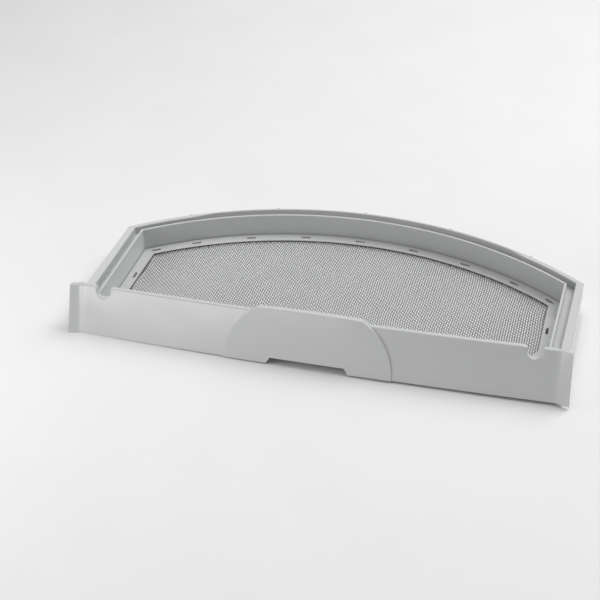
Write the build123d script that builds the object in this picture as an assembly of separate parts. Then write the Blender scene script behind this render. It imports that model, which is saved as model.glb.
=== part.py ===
from build123d import *
import os
from math import asin, cos, degrees, radians, sin, sqrt, tan

# Tumble dryer lint filter: a moulded frame with a leaning front plate, and a woven screen moulded into it.
# Millimetres and degrees. The plate runs along X and faces -Y, the lint tray opens upwards.

# Front plate, heights measured upright from the table
plate_length = 400.0
plate_height = 38.9
plate_wall = 2.85
plate_lean = 18.3
plate_bow = 2.85
end_spread = 1.2
flare_length = 9.5
flare_forward = 2.4
flare_bend = 4.0
plate_edge = 1.3

# Two notches in the plate's top edge
notch_inset = 28.2
notch_width = 11.4
notch_depth = 8.5
notch_mouth = 2.0

# Pull tongue in the middle of the plate, and the finger cut-out under it
tongue_width = 134.6
tongue_height = 43.4
tongue_side = 46.5
tongue_upright = 1.0
tongue_crown = 0.7
tongue_corner = 6.0
tongue_foot = 0.8
tongue_lean = 17.0
tongue_edge = 0.7
cutout_foot = 66.0
cutout_top = 60.0
cutout_height = 4.6
cutout_corner = 1.6

# Lint tray, from the outside in
plate_overhang = 3.0
tray_depth = 192.0
arc_radius = 319.5
rim_height = 26.6
rim_edge = 0.5
skin = 2.0
rim_side = 6.3
rim_back = 4.4
rim_end = 29.0
rim_taper = 22.0
groove_width = 7.0
groove_depth = 7.0
wall_top = 27.6
wall_thick = 2.0
wall_edge = 0.4
tray_splay = 1.0
ledge_height = 8.5
ledge_thick = 2.4
ledge_side = 10.5
ledge_back = 10.8
foot_groove_width = 0.9
foot_groove_depth = 1.2
window_front = 40.0
window_corner = 12.0

# Nubs on the outside of the back wall, and windows through the ledge
nub_radius = 1.7
nub_pitch = 14.0
nub_pairs = 2
nub_foot = 4.0
nub_below_rim = 0.4
slot_length = 8.5
slot_width = 2.2
slot_pairs = 3
slot_last_step = 0.75
slot_corner = 3.5
slot_back = 5.1
slot_side = 3.4
slot_side_place = 77.5

# Screen: a woven sheet whose margin lies in a pocket of the ledge, on the pocket's floor
screen_thick = 0.8
screen_margin = 2.0
pocket_floor = 0.4
pocket_room = 0.7
strand_pitch = 6.0
strand_width = 1.2
strand_rise = 0.3
gap_every_x = 5
gap_every_y = 2

# Worked out from the sizes above
notch_centre = plate_length / 2 - notch_inset
arc_centre = tray_depth - arc_radius
outer_half = plate_length / 2 - plate_overhang
mouth_half = outer_half - rim_side
mouth_radius = arc_radius - rim_back
wall_half = mouth_half - groove_width
wall_radius = mouth_radius - groove_width
window_half = wall_half - wall_thick - ledge_side
window_radius = wall_radius - wall_thick - ledge_back
groove_floor = rim_height - groove_depth
ledge_foot = ledge_height - ledge_thick
screen_foot = ledge_foot + pocket_floor
screen_top = screen_foot + screen_thick
slot_end = degrees(asin(window_half / window_radius) - slot_corner / window_radius)
slot_pitch = slot_end / (slot_pairs + slot_last_step)
beyond = tongue_height + plate_height


def polar(radius, angle):
    """Point about the centre of the tray's back arc, the angle measured from straight back."""
    return radius * sin(radians(angle)), arc_centre + radius * cos(radians(angle))


def bay(half, radius, front, splay=0.0):
    """Plan with a straight front, two sides and a back arc; half is its half width at the back corners."""
    corner = arc_centre + sqrt(radius**2 - half**2)
    front_half = half - (corner - front) * tan(radians(splay))
    sides = Polyline((-half, corner), (-front_half, front), (front_half, front), (half, corner))
    back = ThreePointArc((half, corner), (0, arc_centre + radius), (-half, corner))
    return make_face(sides + back)


def slab(plan, low, high):
    """A plan raised from one height to another."""
    return extrude(Pos(0, 0, low) * plan, high - low)


def band_curve(shift):
    """Curve of the plate across its slope: bowed, bent forward at both ends, moved back by shift."""
    bend = plate_length / 2 - flare_length
    run = 2 * flare_length
    tip = shift - 2 * flare_forward
    left = Line((-bend - run, tip), (-bend, shift))
    middle = ThreePointArc((-bend, shift), (0, shift - plate_bow), (bend, shift))
    right = Line((bend, shift), (bend + run, tip))
    return left, middle, right


def leaning_band(lean, front, back):
    """The plate's curve thickened from front to back and swept up a slope, from under the table."""
    ahead = band_curve(front)
    behind = band_curve(back)
    left_end = Line(ahead[0] @ 0, behind[0] @ 0)
    right_end = Line(ahead[2] @ 1, behind[2] @ 1)
    section = make_face([*ahead, right_end, *behind, left_end])
    bends = section.vertices().filter_by(lambda v: abs(v.X) < plate_length / 2)
    section = fillet(bends, flare_bend)
    up_slope = (0, sin(radians(lean)), cos(radians(lean)))
    plane = Plane(origin=(0, 0, 0), x_dir=(1, 0, 0), z_dir=up_slope)
    return extrude(plane * section, beyond, both=True)


def through_plate(outline):
    """An outline seen from the front, carried level through the plate."""
    return extrude(Plane.XZ * outline, tray_depth, both=True)


def trapezium(foot, top, height):
    """Half widths foot and top at the table and at a height, carried on below the table."""
    low = 2 * foot - top
    return make_face(Polyline((-low, -height), (low, -height), (top, height), (-top, height), close=True))


def plate_outline():
    """Face of the plate: ends spread a little towards the foot, a round-bottomed notch near each end."""
    face = trapezium(plate_length / 2 + end_spread, plate_length / 2, plate_height)
    notch_round = notch_width / 2
    notch_low = plate_height - notch_depth + notch_round
    throat = Rectangle(notch_width, notch_depth, align=(Align.CENTER, Align.MIN))
    for side in (-1, 1):
        face -= Pos(side * notch_centre, notch_low) * (throat + Circle(notch_round))
    top_points = face.vertices().filter_by(lambda v: plate_height - v.Y < notch_mouth / 2)
    mouths = top_points.filter_by(lambda v: abs(v.X) < plate_length / 2 - notch_mouth)
    return fillet(mouths, notch_mouth)


def tongue_outline():
    """Dome: upright at the foot, sides on arcs, a nearly flat crowned top."""
    half = tongue_width / 2
    centre = half - tongue_side
    shoulder = tongue_height - tongue_crown
    turn = asin((shoulder - tongue_upright) / tongue_side)
    shoulder_x = centre + tongue_side * cos(turn)
    mid_x = centre + tongue_side * cos(turn / 2)
    mid_y = tongue_upright + tongue_side * sin(turn / 2)
    foot = Polyline((-half, tongue_upright), (-half, -shoulder), (half, -shoulder), (half, tongue_upright))
    right = ThreePointArc((half, tongue_upright), (mid_x, mid_y), (shoulder_x, shoulder))
    crown = ThreePointArc((shoulder_x, shoulder), (0, tongue_height), (-shoulder_x, shoulder))
    left = ThreePointArc((-shoulder_x, shoulder), (-mid_x, mid_y), (-half, tongue_upright))
    face = make_face([*foot.edges(), right, crown, left])
    shoulders = face.vertices().filter_by(lambda v: v.Y > shoulder / 2)
    return fillet(shoulders, tongue_corner)


def cutout_outline():
    """Finger cut-out in the foot of the tongue, wider at the table."""
    face = trapezium(cutout_foot / 2, cutout_top / 2, cutout_height)
    return fillet(face.vertices().filter_by(lambda v: v.Y > 0), cutout_corner)


def front_edges(body, low):
    """Edges of a body's front faces that run round its outline above a height."""
    front = body.faces().filter_by(lambda f: f.normal_at().Y < -0.5)
    return front.edges().filter_by(lambda e: (e @ 0.5).Z > low)


def front_plate():
    """The leaning plate with its notches, tongue and finger cut-out, cut off level at the table."""
    plate = leaning_band(plate_lean, 0, plate_wall) & through_plate(plate_outline())
    plate = fillet(front_edges(plate, plate_height / 2), plate_edge)
    tongue = leaning_band(tongue_lean, -tongue_foot, plate_wall) & through_plate(tongue_outline())
    tongue = fillet(front_edges(tongue, tongue_upright), tongue_edge)
    front = plate + tongue - through_plate(cutout_outline())
    table = Box(2 * plate_length, 2 * tray_depth, 2 * beyond, align=(Align.CENTER, Align.CENTER, Align.MAX))
    return front - table


def window_plan(margin):
    """The screen's window in the ledge, grown all round by a margin."""
    face = bay(window_half + margin, window_radius + margin, window_front - margin)
    front = face.vertices().filter_by(lambda v: v.Y < window_front + window_corner)
    return fillet(front, window_corner + margin)


def slot_plan():
    """Small windows through the ledge: a row along the back arc and one at each side."""
    slot = SlotOverall(slot_length, slot_width)
    row = [step * slot_pitch for step in range(-slot_pairs, slot_pairs + 1)]
    plan = Sketch()
    for angle in [-slot_end, *row, slot_end]:
        x, y = polar(window_radius + slot_back, angle)
        plan += Pos(x, y) * Rot(0, 0, -angle) * slot
    for side in (-1, 1):
        plan += Pos(side * (window_half + slot_side), slot_side_place) * Rot(0, 0, 90) * slot
    return plan


def thin_rim_plan():
    """Sector in which the rim is only as thick as the skin; it slants off at both ends over the taper."""
    half_step = degrees(rim_taper / arc_radius) / 2
    half_width = (rim_back - skin) / 2
    near = mouth_radius - half_width, rim_end + half_step
    far = arc_radius - skin + half_width, rim_end - 3 * half_step
    left = [polar(radius, -angle) for radius, angle in (near, far)]
    right = [polar(radius, angle) for radius, angle in (far, near)]
    beyond_rim = polar(2 * arc_radius, 0)
    return make_face(Polyline((0, arc_centre), *left, beyond_rim, *right, close=True))


def lint_tray():
    """Skirt, flat rim, groove, inner wall and ledge, all one wall that ends inside the plate."""
    outside = bay(outer_half, arc_radius, 0)
    inside = bay(outer_half - skin, arc_radius - skin, -skin)
    thin_back = thin_rim_plan() & inside
    mouth = bay(mouth_half, mouth_radius, -skin, tray_splay) + thin_back
    under_rim = bay(mouth_half + skin, mouth_radius + skin, -skin, tray_splay) + thin_back
    wall = bay(wall_half, wall_radius, -skin, tray_splay)
    hollow = bay(wall_half - wall_thick, wall_radius - wall_thick, -skin, tray_splay)
    foot_inset = wall_thick + foot_groove_width
    foot = bay(wall_half - foot_inset, wall_radius - foot_inset, -skin, tray_splay)

    tray = slab(outside - inside, 0, rim_height)
    tray += slab(outside - mouth, rim_height - skin, rim_height)
    tray += slab((under_rim & outside) - mouth, groove_floor - skin, rim_height)
    tray = chamfer(tray.edges().filter_by(lambda e: e.center().Z > rim_height - rim_edge / 2), rim_edge)
    tray += slab((under_rim & outside) - wall, groove_floor - skin, groove_floor)
    tray += slab(wall, ledge_foot, wall_top)
    tray -= slab(hollow, ledge_height, wall_top)
    tray = chamfer(tray.edges().filter_by(lambda e: e.center().Z > wall_top - wall_edge / 2), wall_edge)
    tray -= leaning_band(plate_lean, -tray_depth, plate_wall / 2)
    tray -= slab(hollow - foot, ledge_height - foot_groove_depth, ledge_height)
    tray -= slab(window_plan(0), 0, ledge_height)
    tray -= slab(slot_plan(), 0, ledge_height)
    for step in range(-nub_pairs, nub_pairs + 1):
        nub = Circle(nub_radius)
        tray += slab(Pos(*polar(arc_radius, step * nub_pitch)) * nub, nub_foot, rim_height - nub_below_rim)
    return tray


def screen_gaps():
    """Square gaps between strands, on a coarse grid kept inside the window."""
    size = strand_pitch - strand_width
    columns = int(window_half / strand_pitch / gap_every_x)
    rows = int(tray_depth / strand_pitch / gap_every_y)
    gaps = Sketch()
    for column in range(-columns, columns + 1):
        x = column * gap_every_x * strand_pitch
        for row in range(rows):
            y = window_front + (row * gap_every_y + 0.5) * strand_pitch
            far_corner = sqrt((abs(x) + strand_pitch) ** 2 + (y + strand_pitch - arc_centre) ** 2)
            if far_corner < window_radius and abs(x) + strand_pitch < window_half:
                gaps += Pos(x, y) * Rectangle(size, size)
    return gaps


def mesh_screen():
    """Sheet with strands raised one way on its top and the other way underneath, and gaps between them."""
    inner = window_plan(-strand_width)
    along = Sketch()
    lines = int(window_half / strand_pitch)
    for line in range(-lines, lines):
        along += Pos((line + 0.5) * strand_pitch, tray_depth / 2) * Rectangle(strand_width, 2 * tray_depth)
    across = Sketch()
    for line in range(int(tray_depth / strand_pitch)):
        across += Pos(0, window_front + line * strand_pitch) * Rectangle(plate_length, strand_width)
    sheet = slab(window_plan(screen_margin), screen_foot, screen_top)
    sheet += slab(along & inner, screen_top, screen_top + strand_rise)
    sheet += slab(across & inner, screen_foot - strand_rise, screen_foot)
    return sheet - slab(screen_gaps(), 0, wall_top)


frame = lint_tray() + front_plate()
frame -= slab(window_plan(screen_margin), screen_foot, screen_top + pocket_room)
screen = mesh_screen()

middle = Pos(0, -frame.bounding_box().center().Y, 0)
os.makedirs("parts", exist_ok=True)
export_step(middle * frame, "parts/filter_frame.step")
export_step(middle * screen, "parts/mesh_screen.step")
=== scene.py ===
from math import ceil, cos, radians, sin, sqrt, tan

import bpy
from mathutils import Matrix, Vector


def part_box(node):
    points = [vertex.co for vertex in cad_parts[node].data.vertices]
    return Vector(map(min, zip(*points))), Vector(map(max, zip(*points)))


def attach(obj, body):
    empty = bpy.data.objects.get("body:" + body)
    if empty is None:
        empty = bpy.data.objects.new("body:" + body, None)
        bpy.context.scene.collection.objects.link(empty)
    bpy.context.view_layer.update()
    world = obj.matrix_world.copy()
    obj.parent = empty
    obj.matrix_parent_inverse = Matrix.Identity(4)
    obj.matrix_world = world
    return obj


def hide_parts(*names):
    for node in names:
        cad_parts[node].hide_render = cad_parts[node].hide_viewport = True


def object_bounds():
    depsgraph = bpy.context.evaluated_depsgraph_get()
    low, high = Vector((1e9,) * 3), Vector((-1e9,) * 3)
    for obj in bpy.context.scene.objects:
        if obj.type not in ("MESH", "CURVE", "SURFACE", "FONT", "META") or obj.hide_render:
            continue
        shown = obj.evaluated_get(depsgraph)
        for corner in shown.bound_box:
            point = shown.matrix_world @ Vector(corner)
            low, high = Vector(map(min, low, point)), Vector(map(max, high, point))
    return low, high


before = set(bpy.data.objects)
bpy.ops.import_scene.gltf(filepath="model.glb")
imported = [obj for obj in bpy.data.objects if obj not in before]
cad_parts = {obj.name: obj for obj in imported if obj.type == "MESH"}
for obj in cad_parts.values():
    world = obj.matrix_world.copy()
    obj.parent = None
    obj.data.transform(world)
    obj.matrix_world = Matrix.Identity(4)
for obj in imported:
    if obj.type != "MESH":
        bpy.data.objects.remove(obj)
cad_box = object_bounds()

# Sizes in metres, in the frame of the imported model
MM = 0.001

# Camera, fitted to the photograph: it looks down on the plate from a little to the right
CAMERA_AZIMUTH = radians(17.25)
CAMERA_ELEVATION = radians(34.56)
CAMERA_ROLL = radians(-2.21)
CAMERA_DISTANCE = 1.046
CAMERA_TARGET = Vector((-0.0225, -0.0350, 0.0186))
CAMERA_LENS = 77.52
CAMERA_SENSOR = 36.0

# Weave of the screen: flat strands that go over and under each other and end below the ledge
WARP_PITCH = 1.9 * MM
WEFT_PITCH = 1.8 * MM
STRAND_HALF_WIDTH = 0.62 * MM
STRAND_HALF_THICK = 0.26 * MM
STRAND_WAVE = 0.28 * MM
STRAND_TUCK = 1.0 * MM

# Corners of a strand's section, across it and up
SECTION = ((1, 0), (0, 1), (-1, 0), (0, -1))

# Window that the weave fills: the sheet's margin around it, its curved back and its rounded front corners
SCREEN_MARGIN = 2.0 * MM
SCREEN_RADIUS = 295.3 * MM
SCREEN_CORNER = 12.0 * MM

# Slow drift of the strands within the slack screen, and the bend of its waves
DRIFT = 0.6 * MM
DRIFT_REACH = 9.0 * MM
BEND = 2
BEND_REACH_X = 4 * DRIFT_REACH
BEND_REACH_Y = 3 * DRIFT_REACH

# Colours of the strands, the painted shade in their dips, the painted highlight on their crowns and the
# painted shadow along the screen's back edge
WARP_GREY = (0.965, 0.98, 0.975)
WEFT_GREY = (0.60, 0.61, 0.605)
STRAND_ROUGHNESS = 0.35
DIP_PAINTED_SHADE = 0.30
CROWN_PAINTED_LIGHT = 1.02
BACK_EDGE_PAINTED_SHADE = 0.5
BACK_EDGE_SHADE_REACH = 5.0 * MM

# Plastics: clouds of tone and gloss, a fine grain and a slow swell of the surface
FRAME_GREY = (0.548, 0.558, 0.554)
FLOOR_WHITE = (0.81, 0.81, 0.81)
CLOUD_SCALE = 14.0
CLOUD_DETAIL = 3.0
TONE_SPREAD = 0.025
GLOSS_SPREAD = 0.2
GRAIN_DETAIL = 2.0
GRAIN_STRENGTH = 0.25
SWELL_SCALE = 24.0
SWELL_DETAIL = 1.0

# Soft turn of the plate's flared ends: its distance from the ends, its reach and half of its slope
FLARE_LENGTH = 10.7 * MM
FLARE_REACH = 5.0 * MM
FLARE_SLOPE = 0.126

# Lean of the plate, and the depths at its foot, inside its wall, between which the soft turn fades out
PLATE_LEAN = radians(18.3)
FADE_START = -93.5 * MM
FADE_END = -92.5 * MM

# Colour sockets of a Mix node, which has others of the same names
MIX_A = 6
MIX_B = 7
MIX_RESULT = 2

# The floor falls away a little to the right, so that the right end stands off it as in the photograph
FLOOR_TILT = radians(0.4)
FLOOR_SIZE = 40.0
SKY_STRENGTH = 0.20

# Soft lights: name, place, point that it faces, width and height, and power
PANELS = (
    ("back_right_panel", (0.9, 0.8, 1.6), (0, 0, 0), (1.2, 1.2), 24.4),
    ("back_panel", (-0.437, 1.41, 1.03), (0, 0, 0), (1.2, 0.8), 2.7),
    ("top_panel", (0.0, 0.1, 2.0), (0, 0, 0), (1.2, 1.2), 10.2),
    ("right_panel", (1.8, 0.1, 0.6), (0, 0, 0), (1.2, 1.0), 5.2),
    ("front_left_panel", (-0.718, -1.746, 0.205), (0, -0.095, 0.205), (0.80, 0.40), 6.2),
    ("left_near_panel", (-0.65, -0.35, 0.3), (-0.1, 0, 0), (0.3, 0.3), 1.6),
)


class Screen:
    """Outline of the screen's window, read from the sheet that the weave stands for."""

    low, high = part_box("mesh_screen")
    half = high[0] - SCREEN_MARGIN
    front = low[1] + SCREEN_MARGIN
    centre = high[1] - SCREEN_MARGIN - SCREEN_RADIUS
    level = (low[2] + high[2]) / 2

    @classmethod
    def depth_at(cls, x):
        """Nearest and farthest y of the window at a place across it."""
        inset = max(0.0, abs(x) - (cls.half - SCREEN_CORNER))
        near = cls.front + SCREEN_CORNER - sqrt(SCREEN_CORNER**2 - inset**2)
        return near, cls.centre + sqrt(SCREEN_RADIUS**2 - x**2)

    @classmethod
    def half_at(cls, y):
        """Half width of the window at a depth."""
        inset = max(0.0, cls.front + SCREEN_CORNER - y)
        side = cls.half - SCREEN_CORNER + sqrt(SCREEN_CORNER**2 - inset**2)
        reach = SCREEN_RADIUS**2 - (y - cls.centre) ** 2
        return min(side, sqrt(max(reach, 0.0)))


def strand_mesh(name, lines):
    """One mesh of flat strands, each along a line of points and closed at both ends."""
    points, quads = [], []
    corners = len(SECTION)
    for line, sideways in lines:
        first = len(points)
        for x, y, z in line:
            for across, upward in SECTION:
                across *= STRAND_HALF_WIDTH
                upward *= STRAND_HALF_THICK
                points.append((x + across * sideways[0], y + across * sideways[1], z + upward))
        rings = len(line)
        for ring in range(rings - 1):
            start = first + corners * ring
            for corner in range(corners):
                here = start + corner
                after = start + (corner + 1) % corners
                quads.append((here, after, after + corners, here + corners))
        last = first + corners * (rings - 1)
        quads.append(tuple(reversed(range(first, first + corners))))
        quads.append(tuple(range(last, last + corners)))
    mesh = bpy.data.meshes.new(name)
    mesh.from_pydata(points, [], quads)
    mesh.polygons.foreach_set("use_smooth", [True] * len(quads))
    mesh.validate()
    mesh.update()
    piece = bpy.data.objects.new(name, mesh)
    bpy.context.scene.collection.objects.link(piece)
    return piece


def places(low, high, pitch):
    """Numbers of the strands between two places, at a pitch."""
    return range(ceil(low / pitch), ceil(high / pitch))


def alternate(number):
    """Sign that changes from one strand to the next: 1 for even numbers, -1 for odd ones."""
    return 1 - 2 * (number % 2)


def wave(start, end, pitch, first_side):
    """Places along a strand and its heights: over and under the strands it crosses, level at its ends."""
    steps = [(start - STRAND_TUCK, 0.0)]
    for crossing in places(start, end, pitch):
        side = first_side * alternate(crossing)
        steps.append((crossing * pitch, side * STRAND_WAVE))
    steps.append((end + STRAND_TUCK, 0.0))
    return steps


def slack(x, y, z):
    """A point of an even weave, moved to where the slack screen has it."""
    bend = BEND * sin(x / BEND_REACH_X + y / BEND_REACH_Y)
    return x + DRIFT * sin(y / DRIFT_REACH + bend), y + DRIFT * sin(x / DRIFT_REACH - bend), z


def warp_lines():
    """Strands from the plate to the back."""
    for column in places(-Screen.half + WARP_PITCH / 2, Screen.half - WARP_PITCH / 2, WARP_PITCH):
        x = column * WARP_PITCH
        near, far = Screen.depth_at(x)
        steps = wave(near, far, WEFT_PITCH, alternate(column))
        yield [slack(x, y, Screen.level + rise) for y, rise in steps], (1, 0)


def weft_lines():
    """Strands from side to side."""
    back = Screen.centre + SCREEN_RADIUS
    for row in places(Screen.front + WEFT_PITCH / 2, back - WEFT_PITCH / 2, WEFT_PITCH):
        y = row * WEFT_PITCH
        half = Screen.half_at(y)
        steps = wave(-half, half, WARP_PITCH, -alternate(row))
        yield [slack(x, y, Screen.level + rise) for x, rise in steps], (0, 1)


def add_node(material, kind, **values):
    """A shader node with its sockets set by name."""
    node = material.node_tree.nodes.new(kind)
    for name, value in values.items():
        node.inputs[name.replace("_", " ")].default_value = value
    return node


def add_sum(material, operation, *terms):
    """Result of a sum on numbers or the outputs of other nodes."""
    node = add_node(material, "ShaderNodeMath")
    node.operation = operation
    for socket, term in zip(node.inputs, terms):
        if isinstance(term, bpy.types.NodeSocket):
            material.node_tree.links.new(term, socket)
        else:
            socket.default_value = term
    return node.outputs["Value"]


def tinted(material, colour, tone):
    """A colour multiplied by a tone."""
    tint = add_node(material, "ShaderNodeMix")
    tint.data_type = "RGBA"
    tint.blend_type = "MULTIPLY"
    tint.inputs["Factor"].default_value = 1.0
    tint.inputs[MIX_A].default_value = (*colour, 1.0)
    material.node_tree.links.new(tone, tint.inputs[MIX_B])
    return tint.outputs[MIX_RESULT]


def plastic(name, colour, roughness, grain, grain_depth, swell_depth):
    """Moulded plastic: faint clouds of tone and gloss, and a fine grain over a slow swell."""
    material = bpy.data.materials.new(name)
    material.use_nodes = True
    links = material.node_tree.links
    shader = material.node_tree.nodes["Principled BSDF"]
    place = add_node(material, "ShaderNodeTexCoord")
    cloud = add_node(material, "ShaderNodeTexNoise", Scale=CLOUD_SCALE, Detail=CLOUD_DETAIL)
    links.new(place.outputs["Object"], cloud.inputs["Vector"])
    tone = add_node(material, "ShaderNodeMapRange", To_Min=1 - TONE_SPREAD, To_Max=1 + TONE_SPREAD)
    links.new(cloud.outputs["Fac"], tone.inputs["Value"])
    tint = tinted(material, colour, tone.outputs["Result"])
    links.new(tint, shader.inputs["Base Color"])
    gloss = add_node(
        material,
        "ShaderNodeMapRange",
        To_Min=roughness * (1 - GLOSS_SPREAD),
        To_Max=roughness * (1 + GLOSS_SPREAD),
    )
    links.new(cloud.outputs["Fac"], gloss.inputs["Value"])
    links.new(gloss.outputs["Result"], shader.inputs["Roughness"])
    specks = add_node(material, "ShaderNodeTexNoise", Scale=grain, Detail=GRAIN_DETAIL)
    links.new(place.outputs["Object"], specks.inputs["Vector"])
    bump = add_node(material, "ShaderNodeBump", Strength=GRAIN_STRENGTH, Distance=grain_depth)
    links.new(specks.outputs["Fac"], bump.inputs["Height"])
    swell = add_node(material, "ShaderNodeTexNoise", Scale=SWELL_SCALE, Detail=SWELL_DETAIL)
    links.new(place.outputs["Object"], swell.inputs["Vector"])
    sway = add_node(material, "ShaderNodeBump", Strength=1.0, Distance=swell_depth)
    sway.name = "swell_bump"
    links.new(swell.outputs["Fac"], sway.inputs["Height"])
    links.new(sway.outputs["Normal"], bump.inputs["Normal"])
    links.new(bump.outputs["Normal"], shader.inputs["Normal"])
    return material


def soften_flares(material):
    """Shades the turn of the plate's flared ends as a gentle bend. The mesh keeps its tight one."""
    nodes, links = material.node_tree.nodes, material.node_tree.links
    place = add_node(material, "ShaderNodeTexCoord")
    axes = add_node(material, "ShaderNodeSeparateXYZ")
    links.new(place.outputs["Object"], axes.inputs["Vector"])
    outward = add_sum(material, "ABSOLUTE", axes.outputs["X"])
    offset = add_sum(material, "SUBTRACT", outward, cad_box[1][0] - FLARE_LENGTH)
    offset = add_sum(material, "ABSOLUTE", offset)
    near = add_node(material, "ShaderNodeMapRange", From_Max=FLARE_REACH, To_Min=1.0, To_Max=0.0)
    links.new(offset, near.inputs["Value"])
    foot = add_sum(material, "MULTIPLY_ADD", axes.outputs["Z"], -tan(PLATE_LEAN), axes.outputs["Y"])
    front = add_node(
        material, "ShaderNodeMapRange", From_Min=FADE_START, From_Max=FADE_END, To_Min=1.0, To_Max=0.0
    )
    links.new(foot, front.inputs["Value"])
    fill = add_sum(material, "MULTIPLY", near.outputs["Result"], near.outputs["Result"])
    fill = add_sum(material, "MULTIPLY", fill, front.outputs["Result"])
    bend = add_node(material, "ShaderNodeBump", Strength=1.0, Distance=FLARE_SLOPE * FLARE_REACH / 2)
    links.new(fill, bend.inputs["Height"])
    links.new(bend.outputs["Normal"], nodes["swell_bump"].inputs["Normal"])


def strand(name, colour):
    """Woven strand: painted highlight on its crowns, painted shade in its dips and painted shadow along
    the screen's back edge.
    """
    material = bpy.data.materials.new(name)
    material.use_nodes = True
    links = material.node_tree.links
    shader = material.node_tree.nodes["Principled BSDF"]
    shader.inputs["Roughness"].default_value = STRAND_ROUGHNESS
    place = add_node(material, "ShaderNodeTexCoord")
    axes = add_node(material, "ShaderNodeSeparateXYZ")
    links.new(place.outputs["Object"], axes.inputs["Vector"])
    reach = STRAND_WAVE + STRAND_HALF_THICK
    # Painted shade in the dips and painted highlight on the crowns, set by each point's height in the
    # weave
    tone = add_node(
        material,
        "ShaderNodeMapRange",
        From_Min=Screen.level - reach,
        From_Max=Screen.level + reach,
        To_Min=DIP_PAINTED_SHADE,
        To_Max=CROWN_PAINTED_LIGHT,
    )
    links.new(axes.outputs["Z"], tone.inputs["Value"])
    # Painted shadow: strands darker towards the screen's curved back edge, by distance from the arc's
    # centre
    radius = add_node(material, "ShaderNodeVectorMath")
    radius.operation = "DISTANCE"
    radius.inputs[1].default_value = (0.0, Screen.centre, Screen.level)
    links.new(place.outputs["Object"], radius.inputs[0])
    back_edge_shade = add_node(
        material,
        "ShaderNodeMapRange",
        From_Min=SCREEN_RADIUS - BACK_EDGE_SHADE_REACH,
        From_Max=SCREEN_RADIUS,
        To_Min=1.0,
        To_Max=BACK_EDGE_PAINTED_SHADE,
    )
    links.new(radius.outputs["Value"], back_edge_shade.inputs["Value"])
    shade = add_sum(material, "MULTIPLY", tone.outputs["Result"], back_edge_shade.outputs["Result"])
    links.new(tinted(material, colour, shade), shader.inputs["Base Color"])
    return material


def dress(piece, material):
    """Gives a new piece its material and its body."""
    piece.data.materials.append(material)
    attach(piece, "root")


def add_camera():
    """Camera at the photograph's angle, framed for a square picture."""
    back = Vector(
        (
            sin(CAMERA_AZIMUTH) * cos(CAMERA_ELEVATION),
            -cos(CAMERA_AZIMUTH) * cos(CAMERA_ELEVATION),
            sin(CAMERA_ELEVATION),
        )
    )
    right = Vector((cos(CAMERA_AZIMUTH), sin(CAMERA_AZIMUTH), 0))
    up = back.cross(right)
    turn = Matrix((right, up, back)).transposed() @ Matrix.Rotation(CAMERA_ROLL, 3, "Z")
    data = bpy.data.cameras.new("photo_camera")
    data.lens = CAMERA_LENS
    data.sensor_width = CAMERA_SENSOR
    camera = bpy.data.objects.new("photo_camera", data)
    camera.matrix_world = Matrix.Translation(CAMERA_TARGET + CAMERA_DISTANCE * back) @ turn.to_4x4()
    bpy.context.scene.collection.objects.link(camera)
    bpy.context.scene.camera = camera


def add_panel(name, place, aim, size, strength):
    """A soft rectangular light that faces a point."""
    data = bpy.data.lights.new(name, "AREA")
    data.shape = "RECTANGLE"
    data.size, data.size_y = size
    data.energy = strength
    panel = bpy.data.objects.new(name, data)
    panel.location = place
    panel.rotation_euler = (Vector(aim) - Vector(place)).to_track_quat("-Z", "Y").to_euler()
    panel.visible_camera = False
    bpy.context.scene.collection.objects.link(panel)


def add_stage():
    """Pale floor and soft studio light."""
    bpy.ops.mesh.primitive_plane_add(size=FLOOR_SIZE)
    floor = bpy.context.object
    floor.name = "floor"
    floor.rotation_euler = (0, FLOOR_TILT, 0)
    floor.location = (0, 0, tan(FLOOR_TILT) * cad_box[0][0])
    paper = plastic(
        "floor_paper", FLOOR_WHITE, roughness=0.7, grain=900.0, grain_depth=0.05 * MM, swell_depth=0.1 * MM
    )
    floor.data.materials.append(paper)
    for panel in PANELS:
        add_panel(*panel)
    world = bpy.data.worlds.new("studio")
    world.use_nodes = True
    sky = world.node_tree.nodes["Background"]
    sky.inputs["Color"].default_value = (1.0, 1.0, 1.0, 1.0)
    sky.inputs["Strength"].default_value = SKY_STRENGTH
    bpy.context.scene.world = world


frame_plastic = plastic(
    "frame_plastic", FRAME_GREY, roughness=0.14, grain=2600.0, grain_depth=0.001 * MM, swell_depth=0.3 * MM
)
soften_flares(frame_plastic)
warp_strand = strand("warp_strand", WARP_GREY)
weft_strand = strand("weft_strand", WEFT_GREY)

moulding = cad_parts["filter_frame"]
moulding.data.materials.clear()
moulding.data.materials.append(frame_plastic)

warp = strand_mesh("screen_warp", warp_lines())
weft = strand_mesh("screen_weft", weft_lines())
dress(warp, warp_strand)
dress(weft, weft_strand)
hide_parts("mesh_screen")

add_camera()
add_stage()
bpy.context.scene.view_settings.view_transform = "Standard"
